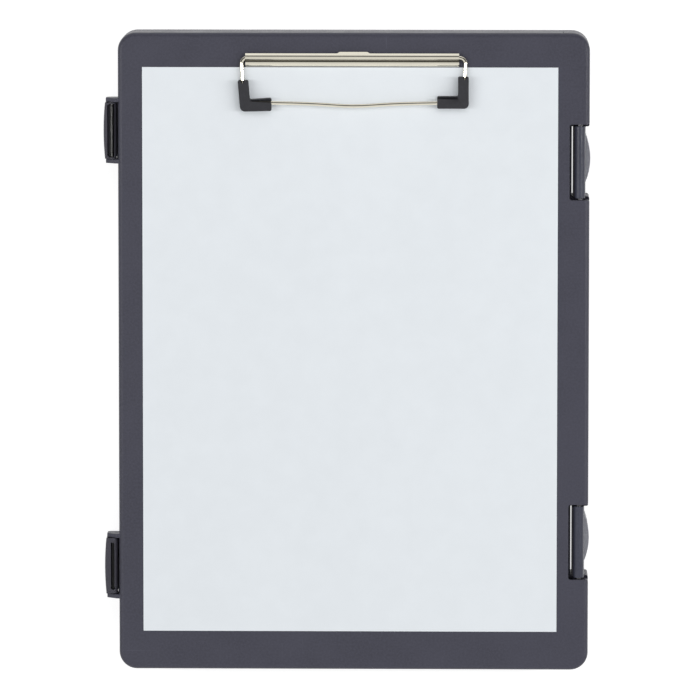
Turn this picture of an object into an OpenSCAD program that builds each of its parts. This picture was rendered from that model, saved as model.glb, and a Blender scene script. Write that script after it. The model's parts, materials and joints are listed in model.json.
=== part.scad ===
// Storage clipboard box: a writing board with a spring wire clip, hinged as the lid of a shallow tray.
// Millimetres. X to the right, Y towards the clip, Z up. The origin is the middle of the tray's underside.

/* [Box] */
// Width of the box, from latch side to hinge side
box_w = 244; // [200:1:320]
// Length of the box, from foot to head
box_l = 332; // [310:1:420]
// Height of the tray alone
tray_h = 20.3; // [14:0.1:45]
// Height of the lid alone
lid_h = 9.7; // [9:0.1:16]
// Thickness of every moulded wall and plate
wall = 2.2; // [1.6:0.1:2.6]
// Plan radius of the four corners
corner_r = 9.2; // [8:0.1:14]
// Rounding of the lid's top edge
lid_edge_r = 2.4; // [1:0.1:2.8]
// Rounding of the tray's bottom edge
tray_edge_r = 1.6; // [0.5:0.1:2.5]

/* [Hinges] */
// Distance from the middle of each hinge to its end of the box
hinge_inset = 67; // [60:0.1:80]
// Shift of both hinges towards the clip
hinge_shift = 0.1; // [-4:0.1:4]
// Length of the notch in the lid at each hinge
notch_l = 39.2; // [30:0.1:42]
// Distance of the hinge axis from the box's right face
axis_inset = 5; // [4.6:0.1:5.4]
// Distance of the hinge axis below the lid's face
axis_drop = 3.2; // [3:0.1:3.4]
// Radius of the hinge barrel
barrel_r = 2.8; // [2.5:0.1:3.1]
// Diameter of the hinge pins
pin_d = 3; // [2:0.1:3.2]
// How deep each end of a hinge pin sits in the lid
pin_hold = 8.5; // [5:0.1:14]
// Gap between the barrel's left side and the edge of the notch
notch_gap = 2.5; // [1.6:0.1:3]
// Plan radius of the notch's corners
notch_r = 1; // [0.4:0.1:2]
// Width of the open slit beside each hinge block
slit_w = 1.6; // [1:0.1:3]
// How far the bulged wall at each hinge stands out from its recess
bulge_out = 2.5; // [0.5:0.1:2.6]
// Length of the bulge
bulge_l = 25; // [18:0.1:28]

/* [Latches] */
// Distance from the middle of each latch to its end of the box
latch_inset = 52.4; // [45:0.1:80]
// Shift of both latches towards the clip
latch_shift = 1.4; // [-4:0.1:4]
// Length of a latch lever
lever_l = 29.1; // [20:0.1:40]
// Distance of the latch rod from the lid's left face
rod_out = 3.4; // [3.2:0.1:5]
// Height of the latch rod below the lid's face
rod_drop = 5; // [4.5:0.1:6]
// Diameter of the latch rods
rod_d = 2; // [1.5:0.1:2.2]
// Radius of the lever's eye round the rod
lever_eye_r = 2.6; // [2.3:0.1:2.8]
// Thickness of the lever's leaf
leaf_t = 1.9; // [1.4:0.1:2.2]
// How far the lever hangs below the rod
lever_drop = 17.6; // [12:0.1:18]
// Thickness of each ear
ear_t = 2.1; // [1.5:0.1:4]
// How far each ear stands out from the lid's left face
ear_out = 6.5; // [6:0.1:7]
// How far each ear hangs below the rod
ear_drop = 9; // [6:0.1:16]
// Length of the slot that shows the rod
slot_l = 23; // [14:0.1:24]
// Width of the slot that shows the rod
slot_w = 1.5; // [1:0.1:1.8]
// Diameter of the round hole at the slot's foot end
keyhole_d = 2.2; // [1.8:0.1:3]

/* [Clip] */
// Length of the folded channel
channel_l = 110.4; // [80:0.1:114]
// Shift of the channel to the right
channel_shift = -0.7; // [-2:0.1:2]
// Distance of the bail's rail from the head end of the lid
rail_inset = 12.7; // [12:0.05:40]
// Thickness of the channel's sheet metal
metal_t = 0.8; // [0.5:0.05:1]
// Diameter of the bail wire
wire_d = 2; // [1.6:0.1:2.4]
// Depth of the channel, from the rail to its front lip
channel_reach = 4.8; // [4.4:0.1:8]
// Radius of the channel's front fold
fold_r = 1.35; // [1.2:0.05:1.5]
// Width between the bail's legs at the rail
bail_w = 116.3; // [116:0.1:130]
// How far each leg leans in towards its corner
leg_lean = 1.4; // [0:0.1:3]
// Distance from the rail to the cross wire
bail_reach = 24; // [20:0.1:40]
// Bow of the cross wire at its middle
bail_bow = 1.2; // [0.4:0.1:3]
// Radius of the rubber grips
grip_r = 2.7; // [2.2:0.1:3.2]
// Length of each limb of a grip, from the corner
grip_limb = 13.6; // [10:0.1:18]
// Length of the swelling at the middle of the channel
crimp_l = 14; // [8:0.1:30]
// Height of that swelling
crimp_h = 0.45; // [0.1:0.05:0.8]
// Distance between the two clip rivets
rivet_spacing = 80; // [40:0.1:90]
// Diameter of the rivets' shanks
rivet_d = 1.8; // [1.5:0.1:2]
// Diameter of the rivet washers
washer_d = 8; // [6:0.1:12]

/* [Paper] */
// Width of the sheet
sheet_w = 215; // [140:0.1:216]
// Length of the sheet
sheet_l = 294; // [200:0.1:297]
// Thickness of the sheet
sheet_t = 0.3; // [0.1:0.05:0.6]
// Shift of the sheet to the right
sheet_shift = -1.85; // [-3:0.05:3]

/* [Clearances] */
// Radial gap of a pin held fast in its hole
tight_fit = 0.02; // [0.01:0.01:0.05]
// Radial gap of a pin that turns in its hole
turning_fit = 0.05; // [0.02:0.01:0.1]
// Gap between pieces that swing past each other
swing_gap = 0.25; // [0.2:0.05:0.4]
// Gap between the ends of pieces that turn side by side
end_gap = 0.3; // [0.2:0.05:0.8]
// Gap between the sheet and what lies over or beside it
paper_gap = 0.1; // [0.05:0.05:0.3]

/* [Hidden] */
$fn = 64;
over = 1;

// Heights and faces of the box
top_z = tray_h + lid_h;
right_x = box_w / 2;
left_x = -box_w / 2;
head_y = box_l / 2;

// Hinge axis, and the circle that the lid's nose sweeps about it
axis_x = right_x - axis_inset;
axis_z = top_z - axis_drop;
rim_gap = 0.2;
nose_r_max = 6.3;
nose_r = min(axis_z - tray_h - rim_gap, nose_r_max);
socket_r = nose_r + swing_gap;
cheek_t = 2;
cheek_x = axis_x - socket_r - cheek_t;

// Hinges: the notch, the barrel in it, and the pin with its bosses
hinge_y = head_y - hinge_inset;
hinge_ys = [hinge_shift + hinge_y, hinge_shift - hinge_y];
notch_x = axis_x - barrel_r - notch_gap;
barrel_l = notch_l - 6 * end_gap;
pin_l = notch_l + 2 * pin_hold;
boss_l = pin_hold + 1;
boss_lap = 0.2;

// Hinge block of the tray: a web under the barrel, its recess and its pocket
web_half = barrel_r - 0.25;
recess_end = 1.5;
recess_l = notch_l - 2 * recess_end;
recess_gap = 0.2;
recess_x = axis_x + barrel_r + recess_gap;
pocket_x = axis_x - web_half - slit_w;
bulge_r = (bulge_l * bulge_l / 4 + bulge_out * bulge_out) / (2 * bulge_out);
bulge_shift = 1.5;

// Latches, in the lever's own section: u outwards from the lid's left face, z up
latch_y = head_y - latch_inset;
latch_ys = [latch_shift + latch_y, latch_shift - latch_y];
rod_z = top_z - rod_drop;
rod_x = left_x - rod_out;
ear_gap = 0.4;
ear_rise = 4;
ear_flat = 1.4;
ear_shoulder = 0.6;
ear_corner_r = 2.6;
ear_inside = lever_l + 2 * end_gap;
rod_l = ear_inside + 2 * ear_t;
leaf_step = 1.5;
lever_out = rod_out + lever_eye_r + leaf_step;
lever_foot_z = rod_z - lever_drop;
lever_bow = 0.7;
lever_face_r = (lever_l * lever_l / 4 + lever_bow * lever_bow) / (2 * lever_bow);
bead_r = 0.7;
bead_rise = 4;
bead_z = lever_foot_z + bead_rise;
bead_inset = 0.5;
bead_l = lever_l - 2 * bead_inset;

// Clip: the rail, its roll in the channel, and the channel's front fold
rail_y = head_y - rail_inset;
wire_r = wire_d / 2;
roll_bore_r = wire_r + turning_fit;
roll_r = roll_bore_r + metal_t;
rail_z = top_z + roll_r;
lip_y = rail_y - channel_reach;
fold_lift = 0.15;
cavity_step = 0.35;
cavity_h = roll_r - metal_t - cavity_step;
crimp_ramp = 2.4;
crimp_sink = 0.05;

// Rivets and washers
rivet_y = lip_y + metal_t + fold_r;
rivet_xs = [channel_shift - rivet_spacing / 2, channel_shift + rivet_spacing / 2];
rivet_head_d = 2.6;
head_gap = 0.15;
rivet_head_h = cavity_h - head_gap;
washer_t = 0.6;
head_t = 0.7;

// The bail's own plane, tilted about the rail until the grips rest just over the paper
grip_flat = 0.2;
grip_z = top_z + sheet_t + paper_gap + grip_r - grip_flat;
bail_tilt = asin((grip_z - rail_z) / bail_reach);
rail_bend_r = 2;
corner_bend_r = 2.4;
mid_bend_r = 900;
rail_split = 1.4;
bend_lap = 0.2;
bend_step = 0.05;
corner_swell = 0.04;

// Paper: its head edge rests against the channel's lip
sheet_head_y = lip_y - 3 * paper_gap;

// Right half of the bail, from the middle of the rail round to the middle of the cross wire.
// Headings are in degrees, seen in the bail's plane.
function unit(a) = [cos(a), sin(a)];
function tangent_length(radius, turn) = radius * tan(turn / 2);

leg_heading = -90 - atan(leg_lean / bail_reach);
leg_turn = -leg_heading;
leg_dir = unit(leg_heading);
rail_corner = [bail_w / 2, 0];
grip_corner = [bail_w / 2 - leg_lean, -bail_reach];
foot_mid = [0, -bail_reach - bail_bow];
cross_dir = (foot_mid - grip_corner) / norm(foot_mid - grip_corner);
cross_turn = 180 + leg_heading - atan(bail_bow / grip_corner.x);
mid_turn = 2 * atan(bail_bow / grip_corner.x);

// Ends of the straight runs, where the bends begin and end
rail_tangent = tangent_length(rail_bend_r, leg_turn);
grip_tangent = tangent_length(corner_bend_r, cross_turn);
mid_tangent = tangent_length(mid_bend_r, mid_turn);
rail_end = rail_corner - [rail_tangent, 0];
leg_top = rail_corner + rail_tangent * leg_dir;
leg_foot = grip_corner - grip_tangent * leg_dir;
cross_end = grip_corner + grip_tangent * cross_dir;
bow_start = foot_mid - mid_tangent * cross_dir;

// Outline section of one moulded half: the wall and the start of its plate, from 0 at the corner's
// centre out to the corner's radius. The plate lies at height 0 and the wall stands up from it.
module rim_section(height, edge_r) {
    difference() {
        square([corner_r, height]);
        translate([-over, wall]) square([corner_r - wall + over, height]);
        translate([corner_r - edge_r, -over]) difference() {
            square([edge_r + over, edge_r + over]);
            translate([0, edge_r + over]) circle(edge_r);
        }
    }
}

// A shallow open box, plate down, with round corners
module open_box(height, edge_r) {
    straight_x = box_w - 2 * corner_r;
    straight_y = box_l - 2 * corner_r;
    translate([-straight_x / 2, -straight_y / 2, 0]) cube([straight_x, straight_y, wall]);
    for (side = [0, 1]) rotate(180 * side) {
        translate([straight_x / 2, straight_y / 2, 0]) rotate([90, 0, 0])
            linear_extrude(straight_y) rim_section(height, edge_r);
        translate([-straight_x / 2, straight_y / 2, 0]) rotate([90, 0, 90])
            linear_extrude(straight_x) rim_section(height, edge_r);
        for (quarter = [0, 1])
            translate([(1 - 2 * quarter) * straight_x / 2, straight_y / 2, 0]) rotate(90 * quarter)
                rotate_extrude(angle = 90) rim_section(height, edge_r);
    }
}

// A bar along Y about the hinge axis
module axis_bar(radius, length, y = 0) {
    translate([axis_x, y, axis_z]) rotate([90, 0, 0]) cylinder(r = radius, h = length, center = true);
}

// A block given by its lowest corner and its highest corner
module block(low, high) {
    translate(low) cube(high - low);
}

// Upper rim of the tray on the hinge side, which meets the lid's turning nose
module hinge_side_rim() {
    intersection() {
        block([cheek_x, -box_l, tray_h - over], [box_w, box_l, axis_z]);
        outline_wall(axis_z);
    }
}

// Walls only, without a plate, up to a height
module outline_wall(height) {
    difference() {
        linear_extrude(height) rounded_outline(0);
        translate([0, 0, -over]) linear_extrude(height + 2 * over) rounded_outline(wall);
    }
}

// Plan of the box, its walls drawn in by an inset
module rounded_outline(inset) {
    square([box_w - 2 * corner_r, box_l - 2 * inset], center = true);
    square([box_w - 2 * inset, box_l - 2 * corner_r], center = true);
    for (sx = [-1, 1], sy = [-1, 1])
        translate([sx * (box_w / 2 - corner_r), sy * (box_l / 2 - corner_r)]) circle(corner_r - inset);
}

// Pocket walls round one hinge, inside the tray
module hinge_pocket_walls(y) {
    half = recess_l / 2;
    block([pocket_x - wall, y - half - wall, 0], [right_x - wall / 2, y + half + wall, tray_h]);
}

// What is taken out at one hinge: the open slit, and the outer wall down to the recess
module hinge_pocket_cut(y) {
    half = recess_l / 2;
    block([pocket_x, y - half, -over], [axis_x - web_half, y + half, top_z]);
    translate([0, y, -over]) linear_extrude(top_z + over) side_cut(recess_x, recess_l, wall / 4, wall / 2);
    block([axis_x - web_half - over, y - half, tray_h], [box_w, y + half, top_z]);
}

// Plan of a cut into the right side: its inner corners and the edges that it leaves are round
module side_cut(from_x, length, inner_r, edge_r) {
    half = length / 2;
    translate([from_x + inner_r, -half]) square([box_w, length]);
    translate([from_x, inner_r - half]) square([box_w, length - 2 * inner_r]);
    for (side = [-1, 1]) {
        translate([from_x + inner_r, side * (half - inner_r)]) circle(inner_r);
        difference() {
            translate([right_x - edge_r, side * half - edge_r]) square([edge_r + over, 2 * edge_r]);
            translate([right_x - edge_r, side * (half + edge_r)]) circle(edge_r);
        }
    }
}

// Web, barrel and bulged wall of one hinge
module hinge_block(y) {
    half = barrel_l / 2;
    block([axis_x - web_half, y - half, tray_h - over], [axis_x + web_half, y + half, axis_z]);
    axis_bar(barrel_r, barrel_l, y);
    intersection() {
        translate([recess_x + bulge_out - bulge_r, y + bulge_shift, 0]) cylinder(r = bulge_r, h = tray_h);
        block([recess_x - over, y - recess_l / 2, 0], [right_x + over, y + recess_l / 2, tray_h]);
    }
}

// Catch bead on the tray's left face for one latch
module catch_bead(y) {
    translate([left_x, y, bead_z]) rotate([90, 0, 0]) cylinder(r = bead_r, h = bead_l, center = true);
}

module base_tray() {
    color([0.30, 0.31, 0.34]) difference() {
        union() {
            difference() {
                union() {
                    open_box(tray_h, tray_edge_r);
                    hinge_side_rim();
                    for (y = hinge_ys) hinge_pocket_walls(y);
                }
                for (y = hinge_ys) hinge_pocket_cut(y);
                axis_bar(socket_r, box_l + 2 * over);
            }
            for (y = hinge_ys) hinge_block(y);
            for (y = latch_ys) catch_bead(y);
        }
        for (y = hinge_ys) axis_bar(pin_d / 2 + tight_fit, barrel_l + 2 * over, y);
    }
}

// Boss for one end of a hinge pin, under the lid's plate
module pin_boss(y) {
    half = boss_l / 2;
    plate_z = top_z - wall + boss_lap;
    axis_bar(barrel_r, boss_l, y);
    block([axis_x - barrel_r, y - half, axis_z], [axis_x + barrel_r, y + half, plate_z]);
}

// Section of an ear, in the lever's own section: a cheek beside the lever, with a sloping top edge
// and a round foot. It stays clear of the tray's wall below the lid's rim.
module ear_section() {
    foot_z = rod_z - ear_drop;
    rim_z = tray_h + ear_gap;
    head_z = rod_z + ear_rise;
    polygon([[-wall / 2, rim_z], [-wall / 2, head_z], [ear_flat, head_z],
        [ear_out, rod_z - ear_shoulder], [ear_out, foot_z + ear_corner_r],
        [ear_out - ear_corner_r, foot_z], [ear_gap, foot_z], [ear_gap, rim_z]]);
    translate([ear_out - ear_corner_r, foot_z + ear_corner_r]) circle(ear_corner_r);
}

// Ear for one end of a latch rod, on the lid's left face
module latch_ear(y) {
    translate([left_x, y + ear_t / 2, 0]) rotate([90, 0, 0]) linear_extrude(ear_t)
        mirror([1, 0]) ear_section();
}

// Space that the lid's nose leaves free below the hinge axis
module nose_cut() {
    difference() {
        block([cheek_x - swing_gap, -box_l, tray_h - over], [box_w, box_l, axis_z + swing_gap]);
        axis_bar(nose_r, 2 * box_l + 2 * over);
    }
}

function ear_offsets(y) = [y - ear_inside / 2 - ear_t / 2, y + ear_inside / 2 + ear_t / 2];
function boss_offsets(y) = [y - notch_l / 2 - boss_l / 2, y + notch_l / 2 + boss_l / 2];

module lid_shell() {
    color([0.30, 0.31, 0.35]) difference() {
        union() {
            difference() {
                translate([0, 0, top_z]) rotate([180, 0, 0]) open_box(lid_h, lid_edge_r);
                nose_cut();
                for (y = hinge_ys) translate([0, y, 0]) linear_extrude(top_z + over)
                    side_cut(notch_x, notch_l, notch_r, notch_r);
            }
            for (h = hinge_ys, y = boss_offsets(h)) pin_boss(y);
            for (l = latch_ys, y = ear_offsets(l)) latch_ear(y);
        }
        for (h = hinge_ys) axis_bar(pin_d / 2 + turning_fit, notch_l + 2 * boss_l + over, h);
        for (y = latch_ys) rod_bar(rod_d / 2 + tight_fit, rod_l + 2 * over, y);
        for (x = rivet_xs) translate([x, rivet_y, top_z - wall - over])
            cylinder(d = rivet_d + 2 * tight_fit, h = wall + 2 * over);
    }
}

module hinge_pin(y) {
    color([0.75, 0.76, 0.78]) axis_bar(pin_d / 2, pin_l, y);
}

// A bar along Y about a latch rod's axis
module rod_bar(radius, length, y) {
    translate([rod_x, y, rod_z]) rotate([90, 0, 0]) cylinder(r = radius, h = length, center = true);
}

// Section of the lever: its eye, its leaf, and its lip below the bead
module lever_section() {
    lip_top = bead_z - bead_r - swing_gap;
    translate([rod_out, rod_z]) circle(lever_eye_r);
    translate([rod_out, rod_z - lever_eye_r]) square([lever_out - rod_out, 2 * lever_eye_r]);
    translate([lever_out - lever_bow - leaf_t, lever_foot_z]) square([leaf_t + lever_bow, lever_drop]);
    translate([bead_r + swing_gap, lever_foot_z])
        square([lever_out - bead_r - swing_gap, lip_top - lever_foot_z]);
}

// Latch lever: its section, bowed in plan, with the rod's bore, the slot and the slot's round end
module latch_lever(y) {
    slot_low = [rod_x - slot_w / 2, y - slot_l / 2, rod_z];
    slot_high = [rod_x + slot_w / 2, y + slot_l / 2, top_z];
    color([0.27, 0.28, 0.31]) difference() {
        intersection() {
            translate([left_x, y + lever_l / 2, 0]) rotate([90, 0, 0]) linear_extrude(lever_l)
                mirror([1, 0]) lever_section();
            translate([left_x - lever_out + lever_face_r, y, 0])
                cylinder(r = lever_face_r, h = top_z, $fn = 360);
        }
        rod_bar(rod_d / 2 + turning_fit, lever_l + 2 * over, y);
        block(slot_low, slot_high);
        translate([rod_x, y - slot_l / 2, rod_z]) cylinder(d = keyhole_d, h = top_z - rod_z);
    }
}

module latch_rod(y) {
    color([0.80, 0.81, 0.83]) rod_bar(rod_d / 2, rod_l, y);
}

// Section of the channel in Y and Z, from outer shape less its cavity
module channel_section() {
    difference() {
        channel_outline(roll_r, fold_r, 0);
        channel_outline(roll_bore_r, fold_r - metal_t, metal_t);
    }
}

module channel_outline(rear_r, front_r, inset) {
    fold_y = lip_y + fold_r;
    fold_z = top_z + fold_r + fold_lift;
    translate([rail_y, rail_z]) circle(rear_r);
    translate([fold_y, fold_z]) circle(front_r);
    translate([fold_y, top_z + inset]) square([rail_y - fold_y, cavity_h + 2 * (metal_t - inset)]);
    translate([lip_y + inset, top_z + inset]) square([fold_r - inset, fold_z - top_z - inset]);
}

module along_x(length) {
    rotate([90, 0, 90]) linear_extrude(length, center = true) children();
}

// The swelling at the middle of the roll, with a ramp at each end
module roll_crimp() {
    barrel = crimp_l - 2 * crimp_ramp;
    difference() {
        translate([0, rail_y, rail_z]) rotate([0, 90, 0]) {
            cylinder(r = roll_r + crimp_h, h = barrel, center = true);
            for (turn = [0, 180]) rotate([turn, 0, 0]) translate([0, 0, barrel / 2])
                cylinder(r1 = roll_r + crimp_h, r2 = roll_r - crimp_sink, h = crimp_ramp);
        }
        block([-crimp_l, lip_y - over, 0], [crimp_l, rail_y + 2 * roll_r, top_z]);
        block([-crimp_l, lip_y - over, 0], [crimp_l, rail_y, rail_z + roll_r]);
        translate([0, rail_y, rail_z]) rotate([0, 90, 0])
            cylinder(r = roll_bore_r, h = crimp_l + over, center = true);
    }
}

module clip_channel() {
    color([0.80, 0.77, 0.70]) difference() {
        translate([channel_shift, 0, 0]) {
            along_x(channel_l) channel_section();
            roll_crimp();
        }
        for (x = rivet_xs) translate([x, rivet_y, top_z - over])
            cylinder(d = rivet_d + 2 * tight_fit, h = over + metal_t + head_gap / 2);
    }
}

// One round bend of wire in the plane, from a point, at a heading, turning right by an angle
module bend(start, heading, turn, radius, wire) {
    translate([start.x, start.y, 0]) rotate(heading - 90) translate([radius, 0, 0]) rotate(180 - turn)
        rotate_extrude(angle = turn) translate([radius, 0]) circle(wire);
}

// One straight run of wire in the plane, which laps over the bends at both ends
module run(start, end, wire, lap = bend_lap) {
    d = end - start;
    translate([start.x, start.y, 0]) rotate(atan2(d.y, d.x)) rotate([0, 90, 0])
        translate([0, 0, -lap]) cylinder(r = wire, h = norm(d) + 2 * lap);
}

// Right half of the bail: rail, leg, corner and half of the cross wire
module bail_half() {
    run([rail_split / 2, 0], rail_end, wire_r);
    bend(rail_end, 0, leg_turn, rail_bend_r, wire_r - bend_step);
    run(leg_top, leg_foot, wire_r);
    bend(leg_foot, leg_heading, cross_turn, corner_bend_r, wire_r - bend_step);
    run(cross_end, bow_start, wire_r);
}

// Puts what is drawn in the bail's plane on its rail
module on_rail() {
    translate([0, rail_y, rail_z]) rotate([-bail_tilt, 0, 0]) children();
}

module clip_bail() {
    color([0.80, 0.77, 0.70]) on_rail() {
        bail_half();
        mirror([1, 0, 0]) bail_half();
        bend(bow_start, 180 + mid_turn / 2, mid_turn, mid_bend_r, wire_r - bend_step);
    }
}

// Rubber corner on the right end of the cross wire, bored for the wire
module grip_right_shape() {
    difference() {
        on_rail() difference() {
            union() {
                run(grip_corner, grip_corner - grip_limb * leg_dir, grip_r, 0);
                run(grip_corner, grip_corner + grip_limb * cross_dir, grip_r, 0);
                translate([grip_corner.x, grip_corner.y, 0]) sphere(grip_r + corner_swell);
            }
            wire_hole();
        }
        block([0, 0, 0], [box_w, box_l, top_z + sheet_t + paper_gap]);
    }
}

module wire_hole() {
    hole = wire_r + tight_fit;
    from = grip_corner - (grip_limb + over) * leg_dir;
    to = grip_corner + (grip_limb + over) * cross_dir;
    run(from, leg_foot, hole + bend_step);
    bend(leg_foot, leg_heading, cross_turn, corner_bend_r, hole);
    run(cross_end, to, hole + bend_step);
}

module bail_grip_right() {
    color([0.13, 0.13, 0.15]) grip_right_shape();
}

module bail_grip_left() {
    color([0.13, 0.13, 0.15]) mirror([1, 0, 0]) grip_right_shape();
}

// Rivet with its set head in the channel and its broad head under the washer
module clip_rivet(x) {
    color([0.72, 0.72, 0.74]) translate([x, rivet_y, 0]) {
        translate([0, 0, top_z - wall - washer_t]) cylinder(d = rivet_d, h = wall + washer_t + metal_t);
        translate([0, 0, top_z + metal_t]) cylinder(d = rivet_head_d, h = rivet_head_h);
        translate([0, 0, top_z - wall - washer_t - head_t]) cylinder(d = 2 * rivet_head_d, h = head_t);
    }
}

module rivet_washer(x) {
    color([0.72, 0.72, 0.74]) translate([x, rivet_y, top_z - wall - washer_t]) difference() {
        cylinder(d = washer_d, h = washer_t);
        translate([0, 0, -over]) cylinder(d = rivet_d + 2 * tight_fit, h = washer_t + 2 * over);
    }
}

module paper_sheet() {
    color([0.93, 0.94, 0.95]) block([sheet_shift - sheet_w / 2, sheet_head_y - sheet_l, top_z],
        [sheet_shift + sheet_w / 2, sheet_head_y, top_z + sheet_t]);
}

base_tray();
lid_shell();
hinge_pin(hinge_ys[0]);  // hinge_pin_upper
hinge_pin(hinge_ys[1]);  // hinge_pin_lower
latch_lever(latch_ys[0]);  // latch_upper
latch_lever(latch_ys[1]);  // latch_lower
latch_rod(latch_ys[0]);  // latch_rod_upper
latch_rod(latch_ys[1]);  // latch_rod_lower
clip_channel();
clip_bail();
bail_grip_left();
bail_grip_right();
clip_rivet(rivet_xs[0]);  // clip_rivet_left
clip_rivet(rivet_xs[1]);  // clip_rivet_right
rivet_washer(rivet_xs[0]);  // rivet_washer_left
rivet_washer(rivet_xs[1]);  // rivet_washer_right
paper_sheet();
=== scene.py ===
"""Storage clipboard box: a writing board with a spring wire clip, hinged as the lid of a shallow tray."""

import json
import math

import bmesh
import bpy
from mathutils import Matrix, Vector


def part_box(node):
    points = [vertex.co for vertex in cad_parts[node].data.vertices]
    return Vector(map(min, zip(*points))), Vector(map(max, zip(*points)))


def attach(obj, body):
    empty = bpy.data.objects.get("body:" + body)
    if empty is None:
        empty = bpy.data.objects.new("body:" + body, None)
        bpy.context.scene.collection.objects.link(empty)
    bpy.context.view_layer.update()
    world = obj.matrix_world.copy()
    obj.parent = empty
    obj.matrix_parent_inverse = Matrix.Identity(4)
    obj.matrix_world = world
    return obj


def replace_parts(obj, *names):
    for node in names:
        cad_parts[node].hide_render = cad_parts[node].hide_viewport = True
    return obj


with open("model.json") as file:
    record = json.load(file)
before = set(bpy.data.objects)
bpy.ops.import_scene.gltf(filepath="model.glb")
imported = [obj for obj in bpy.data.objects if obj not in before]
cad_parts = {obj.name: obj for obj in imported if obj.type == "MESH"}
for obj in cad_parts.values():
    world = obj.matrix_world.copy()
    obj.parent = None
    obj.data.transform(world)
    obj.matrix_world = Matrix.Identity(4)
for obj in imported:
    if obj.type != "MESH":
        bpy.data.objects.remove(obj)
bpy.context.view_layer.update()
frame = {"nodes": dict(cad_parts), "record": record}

MM = 0.001

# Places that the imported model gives
LID_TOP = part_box("lid_shell")[1].z
SHEET_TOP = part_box("paper_sheet")[1].z
JOINT_PLACES = {
    joint["name"]: Vector(joint["pos_m"])
    for joint in frame["record"]["behaviour"]["joints"]
    if joint["type"] == "hinge"
}
RAIL = JOINT_PLACES["bail_pivot"]
HINGE = JOINT_PLACES["lid_hinge"]

# Camera: almost straight down on the lid, from a little on the clip's side
PHOTO_SIDE = 700
MM_PER_PIXEL = 0.51858
CAMERA_RANGE = 3.6
CAMERA_FAR = 20
CAMERA_TILT = math.radians(6.0)
CAMERA_TURN = math.radians(1.08)
CAMERA_ROLL = math.radians(0.017)
AIM = Vector((-1.83 * MM, 1.43 * MM, LID_TOP))
SENSOR = 36.0


def in_scene(name, data):
    """A new object in the scene, with its mesh, lamp or camera."""
    made = bpy.data.objects.new(name, data)
    bpy.context.scene.collection.objects.link(made)
    return made


# Shader building


def new_material(name):
    """An empty node material with its output and one surface shader."""
    material = bpy.data.materials.new(name)
    material.use_nodes = True
    tree = material.node_tree
    tree.nodes.clear()
    output = tree.nodes.new("ShaderNodeOutputMaterial")
    shader = tree.nodes.new("ShaderNodeBsdfPrincipled")
    tree.links.new(shader.outputs["BSDF"], output.inputs["Surface"])
    return material, tree, shader


def place(tree, scale=(1, 1, 1), turn=(0, 0, 0)):
    """The piece's own coordinates, stretched and turned for one pattern."""
    coordinates = tree.nodes.new("ShaderNodeTexCoord")
    mapping = tree.nodes.new("ShaderNodeMapping")
    mapping.inputs["Scale"].default_value = scale
    mapping.inputs["Rotation"].default_value = turn
    tree.links.new(coordinates.outputs["Object"], mapping.inputs["Vector"])
    return mapping.outputs["Vector"]


def noise(tree, vector, scale, detail=3.0, roughness=0.55, distortion=0.0):
    """A noise value about the piece."""
    node = tree.nodes.new("ShaderNodeTexNoise")
    node.inputs["Scale"].default_value = scale
    node.inputs["Detail"].default_value = detail
    node.inputs["Roughness"].default_value = roughness
    node.inputs["Distortion"].default_value = distortion
    tree.links.new(vector, node.inputs["Vector"])
    return node.outputs["Fac"]


def spread(tree, value, low, high, to_low=0.0, to_high=1.0):
    """The value's stretch from low to high, mapped to another stretch."""
    node = tree.nodes.new("ShaderNodeMapRange")
    node.inputs["From Min"].default_value = low
    node.inputs["From Max"].default_value = high
    node.inputs["To Min"].default_value = to_low
    node.inputs["To Max"].default_value = to_high
    tree.links.new(value, node.inputs["Value"])
    return node.outputs["Result"]


def maths(tree, operation, first, second):
    """One sum on two values, each a socket or a number."""
    node = tree.nodes.new("ShaderNodeMath")
    node.operation = operation
    for slot, value in zip(node.inputs, (first, second)):
        if isinstance(value, (int, float)):
            slot.default_value = value
        else:
            tree.links.new(value, slot)
    return node.outputs["Value"]


def blend_colours(tree, factor, first, second):
    """Goes from the first colour to the second as the factor rises. Each is a socket or a colour."""
    node = tree.nodes.new("ShaderNodeMix")
    node.data_type = "RGBA"
    tree.links.new(factor, node.inputs["Factor"])
    for slot, value in ((node.inputs[6], first), (node.inputs[7], second)):
        if isinstance(value, tuple):
            slot.default_value = (*value, 1.0)
        else:
            tree.links.new(value, slot)
    return node.outputs[2]


def toned(colour, factor, lift=0.0):
    """A colour made darker or lighter."""
    return tuple(c * factor + lift for c in colour)


def product(tree, first, second):
    """One value times another."""
    return maths(tree, "MULTIPLY", first, second)


def axes(tree, source):
    """X, Y and Z of the piece's own coordinates ("Object") or of the world's direction ("Generated")."""
    coordinates = tree.nodes.new("ShaderNodeTexCoord")
    split = tree.nodes.new("ShaderNodeSeparateXYZ")
    tree.links.new(coordinates.outputs[source], split.inputs["Vector"])
    return split.outputs


def grey_ramp(tree, value, levels):
    """A grey that follows a value through stops, each (place, level)."""
    ramp = tree.nodes.new("ShaderNodeValToRGB")
    stops = ramp.color_ramp.elements
    while len(stops) < len(levels):
        stops.new(0.5)
    for stop, (stop_place, level) in zip(stops, levels):
        stop.position = stop_place
        stop.color = (level, level, level, 1.0)
    tree.links.new(value, ramp.inputs["Fac"])
    return ramp.outputs["Color"]


def relief(tree, heights, shader):
    """Stacks several bumps, each (height socket, depth in metres), on the shader's normal."""
    normal = None
    for height, depth in heights:
        bump = tree.nodes.new("ShaderNodeBump")
        bump.inputs["Strength"].default_value = 1.0
        bump.inputs["Distance"].default_value = depth
        tree.links.new(height, bump.inputs["Height"])
        if normal is not None:
            tree.links.new(normal, bump.inputs["Normal"])
        normal = bump.outputs["Normal"]
    tree.links.new(normal, shader.inputs["Normal"])


# Finishes


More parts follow.
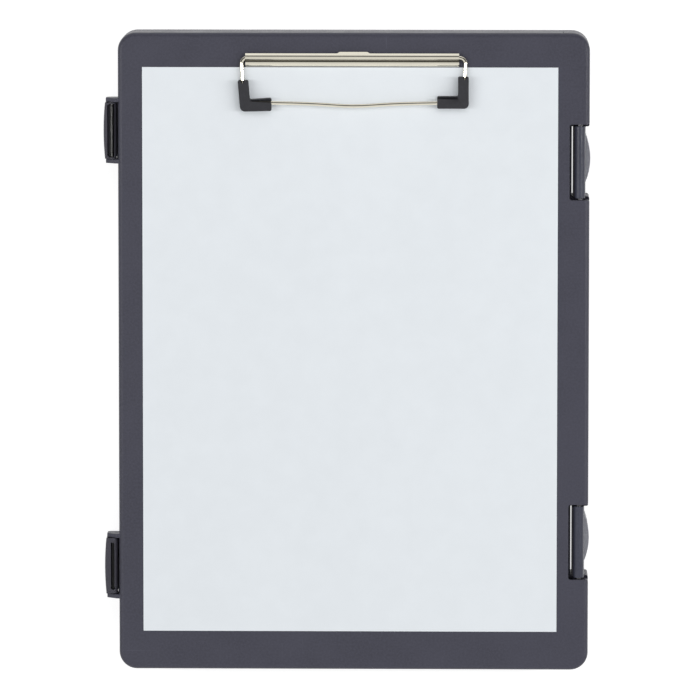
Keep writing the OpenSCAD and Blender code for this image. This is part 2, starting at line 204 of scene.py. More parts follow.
def moulded_plastic(name, colour, scuffed, grain=0.035 * MM, gloss=0.0):
    """Charcoal plastic from a spark-eroded mould: fine grain, faint flow marks and light scuffs."""
    material, tree, shader = new_material(name)
    plain = place(tree)
    grain_fine = noise(tree, plain, 2600, detail=2.0)
    grain_coarse = noise(tree, plain, 900, detail=2.0)
    flow = noise(tree, place(tree, scale=(1.0, 0.35, 1.0), turn=(0, 0, 0.2)), 14, distortion=0.6)
    cloud = noise(tree, plain, 55, detail=4.0)
    scratch_along = noise(tree, place(tree, scale=(1, 0.03, 1), turn=(0, 0, 0.5)), 1400, detail=1.0)
    scratch_across = noise(tree, place(tree, scale=(0.03, 1, 1), turn=(0, 0, 0.25)), 1200, detail=1.0)
    lines_along = spread(tree, scratch_along, 0.72, 0.78)
    lines_across = spread(tree, scratch_across, 0.73, 0.79)
    scratches = maths(tree, "MAXIMUM", lines_along, lines_across)
    rubbed = product(tree, scratches, spread(tree, cloud, 0.52, 0.68))
    shade = maths(tree, "ADD", product(tree, flow, 0.5), product(tree, cloud, 0.5))
    base = blend_colours(tree, spread(tree, shade, 0.38, 0.62), toned(colour, 0.91), toned(colour, 1.08))
    speckles = spread(tree, grain_coarse, 0.35, 0.65, 0.0, 0.6)
    speckled = blend_colours(tree, speckles, base, toned(colour, 1.3))
    worn = blend_colours(tree, product(tree, rubbed, scuffed), speckled, toned(colour, 1.9, 0.02))
    tree.links.new(worn, shader.inputs["Base Color"])
    even_gloss = spread(tree, cloud, 0.3, 0.7, 0.38 - gloss, 0.46 - gloss)
    rough = maths(tree, "SUBTRACT", even_gloss, product(tree, rubbed, 0.12))
    tree.links.new(rough, shader.inputs["Roughness"])
    shader.inputs["Specular IOR Level"].default_value = 0.36
    relief(tree, [(grain_coarse, grain * 1.2), (grain_fine, grain)], shader)
    return material


def nickel_plate(name, colour, shaded_valley=None):
    """Bright warm nickel with faint draw lines along X. A shaded valley, (front, deep, rear) in Y, gets
    painted shade: a near-black colour in place of the shade of a deeper fold.
    """
    material, tree, shader = new_material(name)
    drawn = noise(tree, place(tree, scale=(0.02, 1, 1)), 3200, detail=2.0)
    haze = noise(tree, place(tree, scale=(0.15, 1, 1)), 420, detail=4.0)
    tint = blend_colours(tree, spread(tree, haze, 0.35, 0.7), toned(colour, 0.96), toned(colour, 1.03))
    if shaded_valley:
        front, deep, rear = shaded_valley
        # Painted shade: across the valley the colour goes to near black, in place of the shade that a deeper
        # fold would hold.
        along = axes(tree, "Object")["Y"]
        sides = maths(tree, "MINIMUM", spread(tree, along, front, deep), spread(tree, along, rear, deep))
        painted_shade = product(tree, sides, spread(tree, haze, 0.2, 0.5, 0.8, 0.97))
        tint = blend_colours(tree, painted_shade, tint, VALLEY_SHADE_COLOUR)
    tree.links.new(tint, shader.inputs["Base Color"])
    shader.inputs["Metallic"].default_value = 1.0
    tree.links.new(spread(tree, haze, 0.35, 0.7, 0.08, 0.14), shader.inputs["Roughness"])
    relief(tree, [(drawn, 0.0006 * MM)], shader)
    return material


def drawn_steel(name, colour):
    """Plain steel rod with fine rings left by drawing and a little tarnish."""
    material, tree, shader = new_material(name)
    rings = noise(tree, place(tree, scale=(1, 0.04, 1)), 2400, detail=2.0)
    tarnish = noise(tree, place(tree), 420, detail=5.0)
    tint = blend_colours(tree, spread(tree, tarnish, 0.45, 0.75), colour, toned(colour, 0.72))
    tree.links.new(tint, shader.inputs["Base Color"])
    shader.inputs["Metallic"].default_value = 1.0
    tree.links.new(spread(tree, tarnish, 0.3, 0.7, 0.28, 0.36), shader.inputs["Roughness"])
    relief(tree, [(rings, 0.0004 * MM)], shader)
    return material


def grip_rubber(name, colour):
    """Soft black rubber with a matte skin, a dusty bloom and tiny pores."""
    material, tree, shader = new_material(name)
    pores = noise(tree, place(tree), 3000, detail=3.0)
    bloom = noise(tree, place(tree), 420, detail=5.0)
    tint = blend_colours(tree, spread(tree, bloom, 0.45, 0.7), colour, toned(colour, 1.35, 0.004))
    tree.links.new(tint, shader.inputs["Base Color"])
    tree.links.new(spread(tree, bloom, 0.3, 0.7, 0.62, 0.78), shader.inputs["Roughness"])
    relief(tree, [(pores, 0.03 * MM)], shader)
    return material


def writing_paper(name, colour):
    """Uncoated paper: felt-side mottle, short fibres and a soft tooth."""
    material, tree, shader = new_material(name)
    mottle = noise(tree, place(tree), 90, detail=5.0)
    cast = noise(tree, place(tree, scale=(1.0, 0.4, 1.0)), 16, detail=2.0)
    slanting = place(tree, scale=(1, 0.25, 1), turn=(0, 0, 0.7))
    fibres = noise(tree, slanting, 4200, detail=3.0, distortion=1.2)
    tooth = noise(tree, place(tree), 3400, detail=2.0)
    even = maths(tree, "ADD", product(tree, mottle, 0.55), product(tree, cast, 0.45))
    base = blend_colours(tree, spread(tree, even, 0.38, 0.62), toned(colour, 0.985), toned(colour, 1.012))
    specked = blend_colours(tree, spread(tree, fibres, 0.6, 0.78, 0.0, 0.35), base, toned(colour, 0.95))
    tree.links.new(specked, shader.inputs["Base Color"])
    tree.links.new(spread(tree, mottle, 0.3, 0.7, 0.78, 0.9), shader.inputs["Roughness"])
    shader.inputs["Specular IOR Level"].default_value = 0.25
    relief(tree, [(fibres, 0.012 * MM), (tooth, 0.01 * MM)], shader)
    return material


# Base colours are linear
WARM_NICKEL = (0.84, 0.80, 0.68)
# Near-black colour for the painted shade in the channel's valley
VALLEY_SHADE_COLOUR = (0.03, 0.026, 0.016)
# The channel's valley in Y, where shade is painted in: its front, its deepest line, and its rear
CHANNEL_SHADED_VALLEY = (151.35 * MM, 151.75 * MM, 153.1 * MM)

LID_PLASTIC = moulded_plastic("lid_charcoal_plastic", (0.049, 0.049, 0.069), scuffed=0.35)
TRAY_PLASTIC = moulded_plastic("tray_charcoal_plastic", (0.050, 0.050, 0.070), scuffed=0.5)
LATCH_PLASTIC = moulded_plastic(
    "latch_charcoal_plastic", (0.044, 0.043, 0.056), scuffed=0.6, grain=0.02 * MM
)
BARREL_PLASTIC = moulded_plastic(
    "barrel_satin_plastic", (0.044, 0.047, 0.068), scuffed=0.6, grain=0.008 * MM, gloss=0.18
)
# Painted light: a much lighter copy of the tray's plastic for the bulges' tops
BULGE_LIT_PLASTIC = moulded_plastic(
    "bulge_painted_light_plastic", (0.25, 0.255, 0.285), scuffed=0.8, grain=0.01 * MM, gloss=0.1
)
WIRE_NICKEL = nickel_plate("wire_warm_nickel", WARM_NICKEL)
CHANNEL_NICKEL = nickel_plate("channel_warm_nickel", WARM_NICKEL, shaded_valley=CHANNEL_SHADED_VALLEY)
RIVET_STEEL = drawn_steel("rivet_drawn_steel", (0.60, 0.61, 0.60))
ROD_STEEL = drawn_steel("rod_grey_steel", (0.10, 0.10, 0.098))
# Painted shade: the lower latch's rod, the same part as the upper one, gets a darker copy of its steel
ROD_SHADED_STEEL = drawn_steel("rod_painted_shade_steel", (0.045, 0.045, 0.045))
# Very dark steel for the hinge pins
PIN_STEEL = drawn_steel("pin_dark_steel", (0.09, 0.09, 0.095))
GRIP_RUBBER = grip_rubber("grip_black_rubber", (0.022, 0.022, 0.027))
SHEET_PAPER = writing_paper("sheet_cool_white_paper", (0.79, 0.83, 0.865))


# Shaping

# Share of a bevel's full width that an ordinary edge gets, and angles in degrees
PLAIN_EDGE = 0.25
SHARP_EDGE = 40
SMOOTH_BELOW = 50
FLAT_WITHIN = 0.4
MERGE_WITHIN = 0.001 * MM


def piece_from(mesh, name, material, body):
    """A piece of the object: its mesh in place, its finish, and the body that it moves with."""
    piece = in_scene(name, mesh)
    mesh.materials.clear()
    mesh.materials.append(material)
    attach(piece, body)
    return piece


def settled(name, mesh, shape):
    """The mesh after the modifiers that shape() adds, with none of them left on it."""
    holder = in_scene(name + "_making", mesh)
    shape(holder)
    bpy.context.view_layer.update()
    evaluated = holder.evaluated_get(bpy.context.evaluated_depsgraph_get())
    made = bpy.data.meshes.new_from_object(evaluated)
    made.name = name
    bpy.data.objects.remove(holder)
    return made


def shade_by_angle(mesh, degrees):
    """Smooth shading that keeps the edges sharper than an angle."""
    mesh.polygons.foreach_set("use_smooth", [True] * len(mesh.polygons))
    mesh.set_sharp_from_angle(angle=math.radians(degrees))


def whole_copy(node):
    """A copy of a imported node's mesh, its doubles merged and its flat faces joined into convex ones."""
    mesh = frame["nodes"][node].data.copy()
    form = bmesh.new()
    form.from_mesh(mesh)
    bmesh.ops.remove_doubles(form, verts=form.verts, dist=MERGE_WITHIN)
    flat = math.radians(FLAT_WITHIN)
    bmesh.ops.dissolve_limit(form, angle_limit=flat, verts=form.verts, edges=form.edges)
    bmesh.ops.connect_verts_concave(form, faces=form.faces)
    form.to_mesh(mesh)
    form.free()
    if mesh.has_custom_normals:
        mesh.attributes.remove(mesh.attributes["custom_normal"])
    return mesh


def weigh_edges(mesh, least_length, wide=None):
    """Marks the long sharp edges for easing, and those that wide() picks for a broader rounding."""
    form = bmesh.new()
    form.from_mesh(mesh)
    layers = form.edges.layers.float
    weights = layers.get("bevel_weight_edge") or layers.new("bevel_weight_edge")
    for edge in form.edges:
        sharp = len(edge.link_faces) == 2 and edge.calc_face_angle(0.0) > math.radians(SHARP_EDGE)
        if sharp and edge.calc_length() > least_length:
            edge[weights] = 1.0 if wide and wide(edge) else PLAIN_EDGE
    form.to_mesh(mesh)
    form.free()


def eased(name, mesh, width, steps=2, wide=None):
    """The mesh with its sharp edges broken, as a mould leaves them, and kept inside its own box."""
    weigh_edges(mesh, width, wide)
    low = [min(v.co[i] for v in mesh.vertices) for i in range(3)]
    high = [max(v.co[i] for v in mesh.vertices) for i in range(3)]

    def shape(holder):
        bevel = holder.modifiers.new("eased_edges", "BEVEL")
        bevel.width = width / PLAIN_EDGE
        bevel.segments = steps
        bevel.limit_method = "WEIGHT"
        bevel.use_clamp_overlap = False

    made = settled(name, mesh, shape)
    for vertex in made.vertices:
        for i in range(3):
            vertex.co[i] = min(max(vertex.co[i], low[i]), high[i])
    shade_by_angle(made, SMOOTH_BELOW)

    def even_shading(holder):
        weighted = holder.modifiers.new("even_shading", "WEIGHTED_NORMAL")
        weighted.keep_sharp = True
        weighted.weight = 80

    return settled(name, made, even_shading)


def eased_piece(name, node, width, steps, material, body):
    """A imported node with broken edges, which stands for that node."""
    piece = piece_from(eased(name, whole_copy(node), width, steps), name, material, body)
    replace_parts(piece, node)
    return piece


def carved(name, mesh, cutters):
    """The mesh less some closed cutter meshes, which are thrown away."""
    tools = [in_scene("%s_cutter_%d" % (name, number), cutter) for number, cutter in enumerate(cutters)]

    def shape(holder):
        for tool in tools:
            cut = holder.modifiers.new(tool.name, "BOOLEAN")
            cut.operation = "DIFFERENCE"
            cut.solver = "EXACT"
            cut.object = tool

    made = settled(name, mesh, shape)
    for tool in tools:
        bpy.data.objects.remove(tool)
    return made


def closed_mesh(name, form):
    """The mesh of a finished form, with its faces turned outwards."""
    bmesh.ops.recalc_face_normals(form, faces=form.faces)
    mesh = bpy.data.meshes.new(name)
    form.to_mesh(mesh)
    form.free()
    return mesh


def prism(name, outline, low, high):
    """A closed upright prism on an outline in X and Y."""
    form = bmesh.new()
    foot, head = ([form.verts.new((x, y, level)) for x, y in outline] for level in (low, high))
    form.faces.new(foot)
    form.faces.new(head[::-1])
    for i in range(len(outline)):
        after = (i + 1) % len(outline)
        form.faces.new((foot[i], head[i], head[after], foot[after]))
    return closed_mesh(name, form)


def box_mesh(name, low, high):
    """A closed box between two corners."""
    outline = [(low[0], low[1]), (high[0], low[1]), (high[0], high[1]), (low[0], high[1])]
    return prism(name, outline, low[2], high[2])


def rounded_outline(corners, steps=6):
    """An outline in metres from corners in millimetres, each (x, y, radius), with those corners rounded."""
    outline = []
    for i, (x, y, radius) in enumerate(corners):
        here = Vector((x, y))
        before = (Vector(corners[i - 1][:2]) - here).normalized()
        after = (Vector(corners[(i + 1) % len(corners)][:2]) - here).normalized()
        half = before.angle(after) / 2
        middle = here + (before + after).normalized() * radius / math.sin(half)
        first = here + before * radius / math.tan(half) - middle
        last = here + after * radius / math.tan(half) - middle
        if radius == 0:
            outline.append(here * MM)
            continue
        turn = first.angle(last)
        for k in range(steps + 1):
            share = k / steps
            ray = (first * math.sin((1 - share) * turn) + last * math.sin(share * turn)) / math.sin(turn)
            outline.append((middle + ray) * MM)
    return [(point.x, point.y) for point in outline]


# The two moulded halves

LID_EDGE = 0.25 * MM
TRAY_EDGE = 0.22 * MM
eased_piece("lid_board", "lid_shell", LID_EDGE, 2, LID_PLASTIC, "lid")
tray_body = eased_piece("tray_body", "base_tray", TRAY_EDGE, 3, TRAY_PLASTIC, "base")

# The barrels round the hinge pins are smoother than the rest of the tray, and the bulges' tops get painted
# light: a much lighter copy of the plastic, with scuffs
HINGE_YS = {"upper": 99.1 * MM, "lower": -98.9 * MM}
BARREL_REACH = 3.3 * MM
BULGE_HALF = 19 * MM
BULGE_FROM_X = 120.3 * MM
BULGE_FROM_Z = 12 * MM
FACING_UP = 0.2
BARREL_SLOT, BULGE_SLOT = 1, 2
for finish in (BARREL_PLASTIC, BULGE_LIT_PLASTIC):
    tray_body.data.materials.append(finish)
for face in tray_body.data.polygons:
    at = face.center
    if math.hypot(at.x - HINGE.x, at.z - HINGE.z) < BARREL_REACH:
        face.material_index = BARREL_SLOT
    beside_hinge = any(abs(at.y - y) < BULGE_HALF for y in HINGE_YS.values())
    if beside_hinge and at.x > BULGE_FROM_X and at.z > BULGE_FROM_Z and face.normal.z > FACING_UP:
        face.material_index = BULGE_SLOT


# Small ribs: behind the foot end of each lever on the lid, and beside the foot of each barrel's web

LEVER_FOOT_YS = {"upper": 100.45 * MM, "lower": -126.75 * MM}
EAR_RIB_LOW = 20.9 * MM
EAR_RIB_HIGH = 24.0 * MM
EAR_RIB_LENGTH = 2.9 * MM
EAR_RIB_LAP = 1 * MM
EAR_RIB_OUTER_X = -122.72 * MM
EAR_RIB_INNER_X = -121.6 * MM
SLIT_RIB = 0.4 * MM
SLIT_HALF = 18.3 * MM
WEB_HALF = 2.95 * MM
WEB_LAP = 0.2 * MM
WEB_RIB_LOW = 0.2 * MM
WEB_RIB_HIGH = 25.5 * MM


def rib_piece(name, low, high, material, body):
    """A small plain rib between two corners."""
    piece_from(box_mesh(name, low, high), name, material, body)


for end, foot_y in LEVER_FOOT_YS.items():
    start = foot_y - EAR_RIB_LAP
    rib_piece(
        "ear_rib_" + end,
        (EAR_RIB_OUTER_X, start, EAR_RIB_LOW),
        (EAR_RIB_INNER_X, start + EAR_RIB_LENGTH, EAR_RIB_HIGH),
        LID_PLASTIC, "lid",
    )
for end, hinge_y in HINGE_YS.items():
    rib_piece(
        "web_rib_" + end,
        (HINGE.x - WEB_HALF - SLIT_RIB, hinge_y - SLIT_HALF, WEB_RIB_LOW),
        (HINGE.x - WEB_HALF + WEB_LAP, hinge_y + SLIT_HALF, WEB_RIB_HIGH),
        LATCH_PLASTIC, "base",
    )


# The bail: round wire along a line with rounded corners

WIRE_RADIUS = 1.0 * MM
WIRE_BEND = 3.0 * MM
WIRE_SIDES = 28
BEND_POINTS = 12
POINT_SPACING = 0.5 * MM
CROSS_STEPS = 24
BAIL_HALF = 58.0 * MM
BAIL_LEAN = 1.2 * MM
BAIL_RISE = 1.05 * MM
MIDDLE_REACH = 24.95 * MM
DIP = 1.2 * MM
DIP_WIDTH = 17.0 * MM
CORNER_LIFT = 0.7 * MM
RAIL_GAP = 0.8 * MM


def wire_tree():
    """Geometry Nodes that round a line's corners and run round wire along it."""
    tree = bpy.data.node_groups.new("wire_along_line", "GeometryNodeTree")
    face = tree.interface
    face.new_socket("Line", in_out="INPUT", socket_type="NodeSocketGeometry")
    for name in ("Wire radius", "Bend radius", "Point spacing"):
        face.new_socket(name, in_out="INPUT", socket_type="NodeSocketFloat")
    face.new_socket("Finish", in_out="INPUT", socket_type="NodeSocketMaterial")
    face.new_socket("Wire", in_out="OUTPUT", socket_type="NodeSocketGeometry")
    nodes, links = tree.nodes, tree.links
    entry = nodes.new("NodeGroupInput")
    leave = nodes.new("NodeGroupOutput")
    line = nodes.new("GeometryNodeMeshToCurve")
    rounded = nodes.new("GeometryNodeFilletCurve")
    rounded.mode = "POLY"
    rounded.inputs["Count"].default_value = BEND_POINTS
    even = nodes.new("GeometryNodeResampleCurve")
    even.mode = "LENGTH"
    section = nodes.new("GeometryNodeCurvePrimitiveCircle")
    section.inputs["Resolution"].default_value = WIRE_SIDES
    swept = nodes.new("GeometryNodeCurveToMesh")
    swept.inputs["Fill Caps"].default_value = True
    smooth = nodes.new("GeometryNodeSetShadeSmooth")
    real = nodes.new("GeometryNodeRealizeInstances")
    finish = nodes.new("GeometryNodeSetMaterial")
    for source, output, target, socket in (
        (entry, "Line", line, "Mesh"),
        (line, "Curve", rounded, "Curve"),
        (entry, "Bend radius", rounded, "Radius"),
        (rounded, "Curve", even, "Curve"),
        (entry, "Point spacing", even, "Length"),
        (even, "Curve", swept, "Curve"),
        (entry, "Wire radius", section, "Radius"),
        (section, "Curve", swept, "Profile Curve"),
        (swept, "Mesh", smooth, "Geometry"),
        (smooth, "Geometry", real, "Geometry"),
        (real, "Geometry", finish, "Geometry"),
        (entry, "Finish", finish, "Material"),
        (finish, "Geometry", leave, "Wire"),
    ):
        links.new(source.outputs[output], target.inputs[socket])
    return tree


def run_tree(name, mesh, tree, values):
    """The plain mesh that a tree makes from a mesh, with its named inputs set."""

    def shape(holder):
        maker = holder.modifiers.new("maker", "NODES")
        maker.node_group = tree
        inputs = [item for item in tree.interface.items_tree if item.in_out == "INPUT"]
        sockets = {item.name: item.identifier for item in inputs}
        for label, value in values.items():
            maker[sockets[label]] = value

    return settled(name, mesh, shape)


def cross_reach(x):
    """How far the cross wire lies from the rail: most at the dip in its middle, least at its corners."""
    dip = 1 - math.exp(-((x / DIP_WIDTH) ** 2))
    return MIDDLE_REACH - DIP * dip - CORNER_LIFT * (x / BAIL_HALF) ** 2


def bail_line(name):
    """The wire's middle line, from one end inside the channel round to the other."""
    corner = BAIL_HALF - BAIL_LEAN
    stations = [corner * (1 - 2 * i / CROSS_STEPS) for i in range(CROSS_STEPS + 1)]
    places = [(RAIL_GAP, 0.0), (BAIL_HALF, 0.0)]
    places += [(x, cross_reach(x)) for x in stations]
    places += [(-BAIL_HALF, 0.0), (-RAIL_GAP, 0.0)]
    points = [(x, RAIL.y - reach, RAIL.z + BAIL_RISE * reach / MIDDLE_REACH) for x, reach in places]
    mesh = bpy.data.meshes.new(name)
    mesh.from_pydata(points, [(i, i + 1) for i in range(len(points) - 1)], [])
    return mesh


WIRE_TREE = wire_tree()


def bail_run(name, radius):
    """Wire of a radius along the bail's line."""
    values = {
        "Wire radius": radius,
        "Bend radius": WIRE_BEND,
        "Point spacing": POINT_SPACING,
        "Finish": WIRE_NICKEL,
    }
    return run_tree(name, bail_line(name + "_line"), WIRE_TREE, values)


bail_wire = piece_from(
    bail_run("bail_wire", WIRE_RADIUS), "bail_wire", WIRE_NICKEL, "bail"
)
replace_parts(bail_wire, "clip_bail")


# The channel: sheet metal folded to a roll at the rear, a valley, and a lip on the sheet's head edge.
# Section points are millimetres along the box and up, from the rear foot over to the lip

CHANNEL_LEFT = -55.9 * MM
CHANNEL_RIGHT = 54.5 * MM
CHANNEL_METAL = 0.5 * MM
CHANNEL_FOOT = 30.02 * MM
CHANNEL_SECTION = (
    (155.45, 30.02), (155.58, 31.0), (155.6, 32.4), (155.58, 33.0), (155.45, 33.2), (154.62, 33.86),
    (154.3, 34.03), (153.95, 34.1), (153.3, 34.06), (152.75, 33.86), (152.25, 33.4), (151.9, 32.75),
    (151.7, 32.15), (151.6, 31.95), (151.4, 32.1), (151.0, 32.22), (150.3, 32.16), (149.6, 31.92),
    (149.05, 31.5), (148.7, 30.9), (148.55, 30.02),
)
PAD_HALF = 7.0 * MM
PAD_RAMP = 1.6 * MM
PAD_OUT = 0.75 * MM
PAD_SINK = 0.5 * MM
PAD_FROM_Y = 154.5 * MM
PAD_BLEND = 0.7 * MM
SINK_FROM_Z = 31 * MM
SINK_BLEND = 2.2 * MM
SECTION_STEPS = 4
PLAIN_STATIONS = 40
PAD_STATIONS = 48


def soft_line(points, steps):
    """A smooth line through points, with some more between each two."""
    line = []
    for i in range(len(points) - 1):
        p0, p1, p2, p3 = (points[min(max(i + k, 0), len(points) - 1)] for k in (-1, 0, 1, 2))
        for step in range(steps):
            t = step / steps
            line.append(tuple(
                0.5 * (
                    2 * b
                    + (c - a) * t
                    + (2 * a - 5 * b + 4 * c - d) * t**2
                    + (3 * b - a - 3 * c + d) * t**3
                )
                for a, b, c, d in zip(p0, p1, p2, p3)
            ))
    line.append(points[-1])
    return line


def share_of(value):
    """A value held between 0 and 1."""
    return min(max(value, 0), 1)


def channel_ring(x, outer):
    """The channel's closed section at one place: an outer line, and an inner one a metal's width inside."""
    pad = share_of((PAD_HALF + PAD_RAMP - abs(x)) / PAD_RAMP)
    pad = pad * pad * (3 - 2 * pad)
    ring = []
    for y, z in outer:
        at_rear = share_of((y - PAD_FROM_Y) / PAD_BLEND) * pad
        sink = share_of((z - SINK_FROM_Z) / SINK_BLEND) * at_rear
        ring.append(Vector((x, y + PAD_OUT * at_rear, z - PAD_SINK * sink)))
    inner = []
    for i, point in enumerate(ring):
        along = ring[min(i + 1, len(ring) - 1)] - ring[max(i - 1, 0)]
        inward = Vector((0, along.z, -along.y)).normalized()
        inside = point - inward * CHANNEL_METAL
        inner.append(Vector((x, inside.y, max(inside.z, CHANNEL_FOOT))))
    return ring + inner[::-1]


def channel_mesh(name):
    """The folded channel, with closer stations where the pad at its middle swells."""
    outer = [(y * MM, z * MM) for y, z in soft_line(CHANNEL_SECTION, SECTION_STEPS)]
    near = PAD_HALF + 2 * PAD_RAMP
    length = CHANNEL_RIGHT - CHANNEL_LEFT
    stations = [CHANNEL_LEFT + length * i / PLAIN_STATIONS for i in range(PLAIN_STATIONS + 1)]
    stations = [x for x in stations if abs(x) > near]
    stations += [near * (2 * i / PAD_STATIONS - 1) for i in range(PAD_STATIONS + 1)]
    form = bmesh.new()
    rings = [[form.verts.new(point) for point in channel_ring(x, outer)] for x in sorted(stations)]
    count = len(rings[0])
    for first, second in zip(rings, rings[1:]):
        for i in range(count):
            after = (i + 1) % count
            form.faces.new((first[i], first[after], second[after], second[i]))
    half = count // 2
    for ring in (rings[0], rings[-1]):
        for i in range(half - 1):
            form.faces.new((ring[i], ring[i + 1], ring[count - 2 - i], ring[count - 1 - i]))
    mesh = closed_mesh(name, form)
    shade_by_angle(mesh, SMOOTH_BELOW)
    return mesh


folded_channel = piece_from(
    channel_mesh("folded_channel"), "folded_channel", CHANNEL_NICKEL, "lid"
)
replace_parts(folded_channel, "clip_channel")


# The rubber corners: square-shouldered, split along the inner side of the cross limb, with a recess
# at the wire's way in. Outlines are corners in millimetres, each with its radius

GRIP_LOW = SHEET_TOP + 0.1 * MM
GRIP_TOP = 35.55 * MM
GRIP_EDGE = 0.5 * MM
SPLIT_FLOOR = 31.2 * MM
CUT_PAST = 1 * MM
BORE_GAP = 0.02 * MM
LEFT_OUTLINE = ((-59.8, 141.7, 0.8), (-58.4, 125.5, 2.6), (-42.4, 125.9, 0.8), (-42.5, 132.6, 0.8),
                (-53.6, 131.7, 0.8), (-54.4, 141.7, 0.8))
LEFT_SPLIT = ((-42.0, 130.05, 0), (-41.5, 132.3, 0), (-53.2, 131.4, 0), (-53.2, 130.85, 0))
LEFT_RECESS = ((-58.8, 142.5, 0), (-56.0, 142.5, 0), (-56.9, 140.1, 0), (-57.7, 140.1, 0))
RIGHT_OUTLINE = ((53.95, 143.55, 0.8), (59.4, 143.55, 0.8), (59.5, 127.2, 2.4), (43.2, 127.2, 0.8),
                 (43.2, 133.5, 0.8), (53.95, 133.5, 0.8))
RIGHT_SPLIT = ((42.0, 132.1, 0), (42.0, 133.2, 0), (53.7, 133.2, 0), (53.7, 132.1, 0))
RIGHT_RECESS = ((56.0, 144.5, 0), (58.9, 144.5, 0), (57.9, 141.9, 0), (57.1, 141.9, 0))


def rubber_corner(name, outline, split, recess, node):
    """One moulded rubber corner, bored for the wire."""
    body = eased(name, prism(name, rounded_outline(outline), GRIP_LOW, GRIP_TOP), GRIP_EDGE, 3)
    above = GRIP_TOP + CUT_PAST
    cutters = [
        prism(name + "_split", rounded_outline(split), SPLIT_FLOOR, above),
        prism(name + "_recess", rounded_outline(recess), RAIL.z + BAIL_RISE / 2, above),
        bail_run(name + "_bore", WIRE_RADIUS + BORE_GAP),
    ]
    body = carved(name, body, cutters)
    shade_by_angle(body, SHARP_EDGE)
    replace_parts(piece_from(body, name, GRIP_RUBBER, "bail"), node)


rubber_corner("rubber_corner_left", LEFT_OUTLINE, LEFT_SPLIT, LEFT_RECESS, "bail_grip_left")
rubber_corner("rubber_corner_right", RIGHT_OUTLINE, RIGHT_SPLIT, RIGHT_RECESS, "bail_grip_right")


# The latch levers. Places are millimetres out from the lid's left wall, or up from the floor

WALL_X = -122.0
BROW_OUT = 5.6
BROW_UP = 26.5
LEVER_EDGE = 0.16 * MM
GROOVES = 4
GROOVE_OUT = (7.1, 8.2)
GROOVE_HALF = 9
GROOVE_UP = 8.7
GROOVE_STEP = 1.3
GROOVE_HIGH = 0.6


def lever_box(name, near, far, low_y, high_y, low_z, high_z):
    """A cutter in a lever, from near the lid's wall to further out."""
    low = Vector((WALL_X - far, low_y, low_z)) * MM
    high = Vector((WALL_X - near, high_y, high_z)) * MM
    return box_mesh(name, low, high)


def brow_edge(edge):
    """Whether an edge is the long upper outer one of a lever."""
    return all(v.co.x < (WALL_X - BROW_OUT) * MM and v.co.z > BROW_UP * MM for v in edge.verts)


def latch_piece(name, node, body, cuts):
    """A lever with its own cuts and four finger grooves near its foot."""
    low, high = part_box(node)
    middle = (low.y + high.y) / 2 / MM
    boxes = [("cut", *cut) for cut in cuts]
    for i in range(GROOVES):
        up = GROOVE_UP + GROOVE_STEP * i
        boxes.append(("groove", *GROOVE_OUT, -GROOVE_HALF, GROOVE_HALF, up, up + GROOVE_HIGH))
    cutters = [
        lever_box("%s_%s" % (name, kind), near, far, middle + low_y, middle + high_y, low_z, high_z)
        for kind, near, far, low_y, high_y, low_z, high_z in boxes
    ]
    mesh = eased(name, carved(name, whole_copy(node), cutters), LEVER_EDGE, wide=brow_edge)
    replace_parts(piece_from(mesh, name, LATCH_PLASTIC, body), node)


# Each cut: near and far from the wall, then along the lever from its middle, then up from the floor
UPPER_CUTS = (
    (4.95, 5.6, -13.2, 13.2, 22.8, 29),
    (2.0, 4.95, -13.9, 13.9, 25.0, 29),
    (1.95, 2.4, -13.9, 13.9, 23.0, 29),
)
LOWER_CUTS = (
    (2.9, 4.4, -10.2, 12.2, 24.4, 29),
)
latch_piece("latch_lever_upper", "latch_upper", "latch_upper", UPPER_CUTS)
latch_piece("latch_lever_lower", "latch_lower", "latch_lower", LOWER_CUTS)


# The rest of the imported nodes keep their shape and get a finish


def finish_node(name, material):
    """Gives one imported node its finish."""
    node = frame["nodes"][name]
    node.data.materials.clear()
    node.data.materials.append(material)


for name, material, slot in (
    ("hinge_pin_upper", PIN_STEEL, "pin_steel"),
    ("hinge_pin_lower", PIN_STEEL, "pin_steel"),
    ("latch_rod_upper", ROD_STEEL, "pin_steel"),
    ("latch_rod_lower", ROD_SHADED_STEEL, "pin_steel"),
    ("clip_rivet_left", RIVET_STEEL, "pin_steel"),
    ("clip_rivet_right", RIVET_STEEL, "pin_steel"),
    ("rivet_washer_left", RIVET_STEEL, "pin_steel"),
    ("rivet_washer_right", RIVET_STEEL, "pin_steel"),
    ("paper_sheet", SHEET_PAPER, "sheet_paper"),
):
    finish_node(name, material)


# Floor, light and camera

FLOOR_REACH = 4.0
FLOOR_LEVEL = -0.05 * MM
FLOOR_GREY = 0.42
FLOOR_GLOW = 0.79
# Light on plain surfaces: grey levels by height, for a direction that leans to the foot
LIGHT_LEVELS = ((0.0, 0.04), (0.2, 0.11), (0.45, 0.42), (0.8, 0.575), (1.0, 0.56))
LIGHT_LEAN = 0.3
# What the camera and metal see: grey levels from the foot to the head, and heights where they turn white
SEEN_LEVELS = (
    (0.0, 0.95), (0.2, 0.85), (0.45, 0.66), (0.53, 0.5),
    (0.57, 0.03), (0.88, 0.03), (0.91, 0.8), (1.0, 1.0),
)
HORIZON_TOP = 0.22
HORIZON_FULL = 0.12
WHITE = (1.0, 1.0, 1.0)


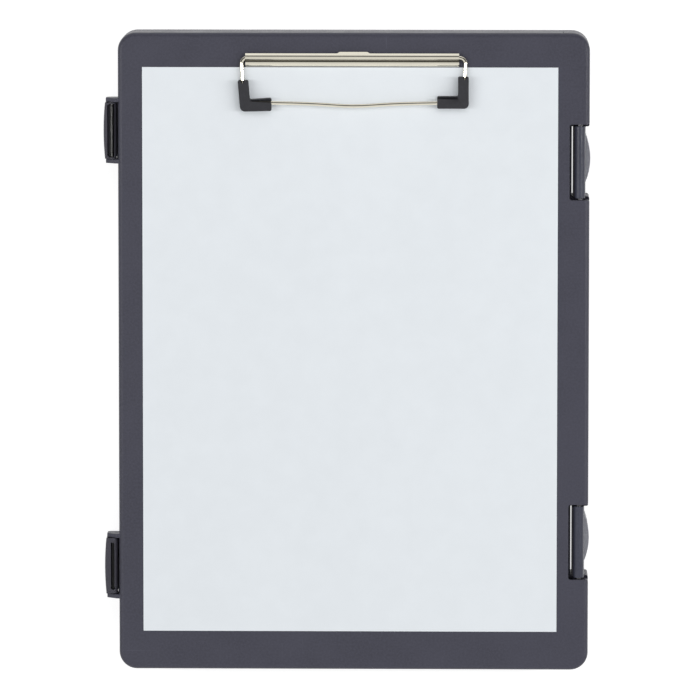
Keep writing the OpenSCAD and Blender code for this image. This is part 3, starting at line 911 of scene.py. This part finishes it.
def pale_floor():
    """A wide white floor that keeps the box's shadow and looks white to the camera and in metal."""
    mesh = bpy.data.meshes.new("pale_floor")
    ways = ((-1, -1), (1, -1), (1, 1), (-1, 1))
    corners = [(x * FLOOR_REACH, y * FLOOR_REACH, FLOOR_LEVEL) for x, y in ways]
    mesh.from_pydata(corners, [], [(0, 1, 2, 3)])
    floor = in_scene("pale_floor", mesh)
    material, tree, shader = new_material("floor_white")
    shader.inputs["Base Color"].default_value = (FLOOR_GREY, FLOOR_GREY, FLOOR_GREY, 1.0)
    shader.inputs["Roughness"].default_value = 0.9
    shader.inputs["Specular IOR Level"].default_value = 0.0
    shader.inputs["Emission Color"].default_value = (*WHITE, 1.0)
    tree.links.new(seen_directly(tree, FLOOR_GLOW), shader.inputs["Emission Strength"])
    mesh.materials.append(material)


def seen_directly(tree, strength):
    """The strength for rays from the camera, a reflection or a clear piece, and none for others."""
    path = tree.nodes.new("ShaderNodeLightPath")
    mirrored = maths(tree, "MAXIMUM", path.outputs["Is Glossy Ray"], path.outputs["Is Transmission Ray"])
    direct = maths(tree, "MAXIMUM", path.outputs["Is Camera Ray"], mirrored)
    return product(tree, direct, strength)


def studio_world():
    """Soft light that leans to the foot. Seen or mirrored, it is white low down and has a dark band above."""
    world = bpy.data.worlds.new("studio_white")
    bpy.context.scene.world = world
    world.use_nodes = True
    tree = world.node_tree
    tree.nodes.clear()
    ways = axes(tree, "Generated")
    leaning = product(tree, ways["Y"], -LIGHT_LEAN)
    ring = grey_ramp(tree, maths(tree, "ADD", ways["Z"], leaning), LIGHT_LEVELS)
    ceiling = grey_ramp(tree, spread(tree, ways["Y"], -1, 1), SEEN_LEVELS)
    horizon = spread(tree, ways["Z"], HORIZON_TOP, HORIZON_FULL)
    backdrop = blend_colours(tree, horizon, ceiling, WHITE)
    colour = blend_colours(tree, seen_directly(tree, 1.0), ring, backdrop)
    background = tree.nodes.new("ShaderNodeBackground")
    output = tree.nodes.new("ShaderNodeOutputWorld")
    tree.links.new(colour, background.inputs["Color"])
    tree.links.new(background.outputs["Background"], output.inputs["Surface"])


def softbox(name, place_at, aim, width, height, power, mirrored=True):
    """One soft lamp, turned to face a point. A lamp that isn't mirrored leaves no glare in the nickel."""
    data = bpy.data.lights.new(name, "AREA")
    data.shape = "RECTANGLE"
    data.size = width
    data.size_y = height
    data.energy = power
    lamp = in_scene(name, data)
    lamp.location = place_at
    lamp.rotation_mode = "QUATERNION"
    lamp.rotation_quaternion = (Vector(aim) - Vector(place_at)).to_track_quat("-Z", "Y")
    lamp.visible_glossy = mirrored


def photo_camera():
    """The photograph's view: the clip end is at the top of the picture."""
    data = bpy.data.cameras.new("photo_camera")
    data.sensor_width = SENSOR
    half_field = PHOTO_SIDE / 2 * MM_PER_PIXEL * MM
    data.lens = SENSOR / 2 * CAMERA_RANGE / half_field
    data.clip_end = CAMERA_FAR
    camera = in_scene("photo_camera", data)
    tilt = Matrix.Rotation(-CAMERA_TILT, 3, "X")
    aimed = Matrix.Rotation(CAMERA_TURN, 3, "Y") @ tilt @ Matrix.Rotation(CAMERA_ROLL, 3, "Z")
    camera.location = AIM + aimed @ Vector((0, 0, CAMERA_RANGE))
    camera.rotation_euler = aimed.to_euler()
    bpy.context.scene.camera = camera


pale_floor()
studio_world()
softbox("head_softbox", (0.5, 1.1, 2.3), (0, 0.05, 0), 2.0, 1.0, 13.6, mirrored=False)
softbox("left_softbox", (-1.4, 0.2, 1.7), (0, 0, 0), 0.12, 1.6, 11.2)
softbox("right_softbox", (1.6, 0.2, 1.5), (0, 0, 0), 0.12, 1.6, 13.6)
photo_camera()
bpy.context.scene.view_settings.view_transform = "Standard"
